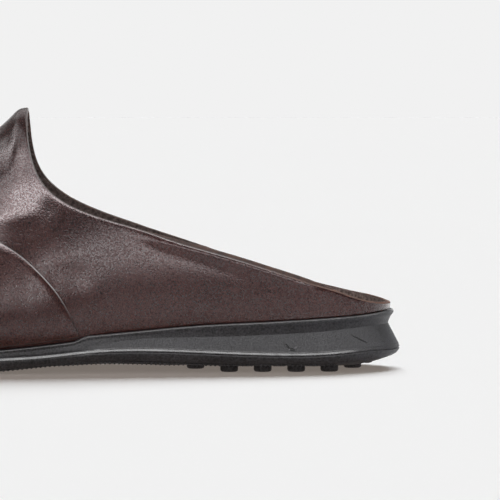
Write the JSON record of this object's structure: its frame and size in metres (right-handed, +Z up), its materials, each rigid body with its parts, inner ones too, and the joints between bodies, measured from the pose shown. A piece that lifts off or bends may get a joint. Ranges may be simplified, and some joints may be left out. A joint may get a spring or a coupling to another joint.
{
  "type": "mule",
  "caption": "Backless leather slip-on for a left foot: closed front with a laid-over vamp, low open heel and a moulded black rubber sole with round heel studs.",
  "frame": {"origin": "Middle of the shoe's bounding box, on the floor that it stands on.", "axes": "+X runs from the toe to the heel, +Y towards the inner side of the foot, +Z up."},
  "size_m": [0.29, 0.1034, 0.093],
  "materials": {
    "sole_rubber": "satin moulded black",
    "insole_lining": "matte brushed grey-brown",
    "upper_leather": "smooth, waxed dark brown",
    "vamp_leather": "smooth, waxed dark brown"
  },
  "bodies": {
    "root": {"sole": "sole_rubber", "insole": "insole_lining", "upper": "upper_leather", "vamp": "vamp_leather"}
  },
  "joints": []
}
